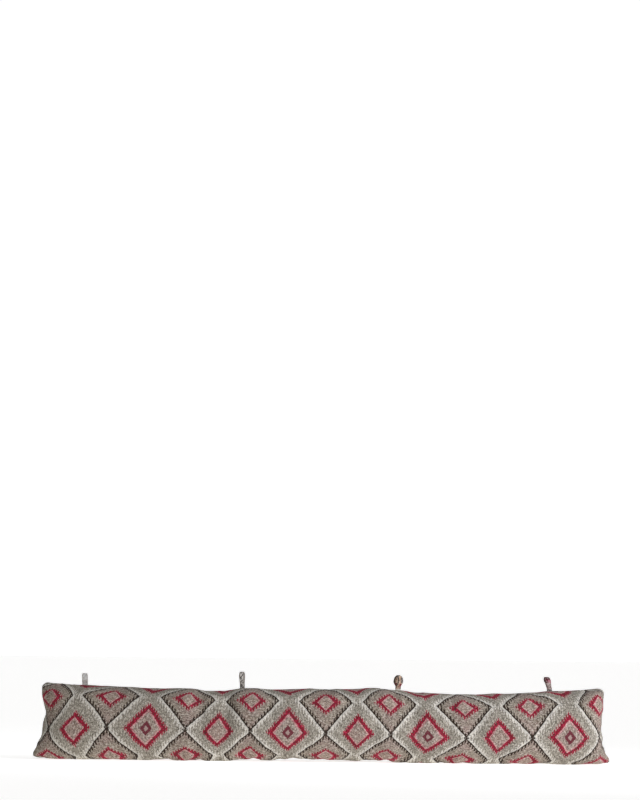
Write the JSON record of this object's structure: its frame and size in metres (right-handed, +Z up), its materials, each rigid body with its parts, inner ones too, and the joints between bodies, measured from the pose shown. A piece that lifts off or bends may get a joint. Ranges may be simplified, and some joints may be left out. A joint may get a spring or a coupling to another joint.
{
  "type": "draught excluder",
  "caption": "Long stuffed cloth draught excluder in a traditional diamond-patterned weave, standing on its underside, with small cloth hanging loops along its top seam.",
  "frame": {"origin": "under the middle of the cushion, on the surface that it stands on", "axes": "+X along the cushion, to the right as seen from its front; the front faces -Y; +Z up, towards the top seam and its loops"},
  "size_m": [0.8988, 0.0968, 0.1387],
  "materials": {
    "kilim_cloth": "heavy flat-woven cloth, heathered grey-beige with dark brown, cream and crimson diamonds",
    "loop_cloth": "folded straps of the same flat-woven cloth"
  },
  "bodies": {
    "root": {"cushion": "kilim_cloth", "loop_1": "loop_cloth", "loop_2": "loop_cloth", "loop_3": "loop_cloth", "loop_4": "loop_cloth"}
  },
  "joints": []
}
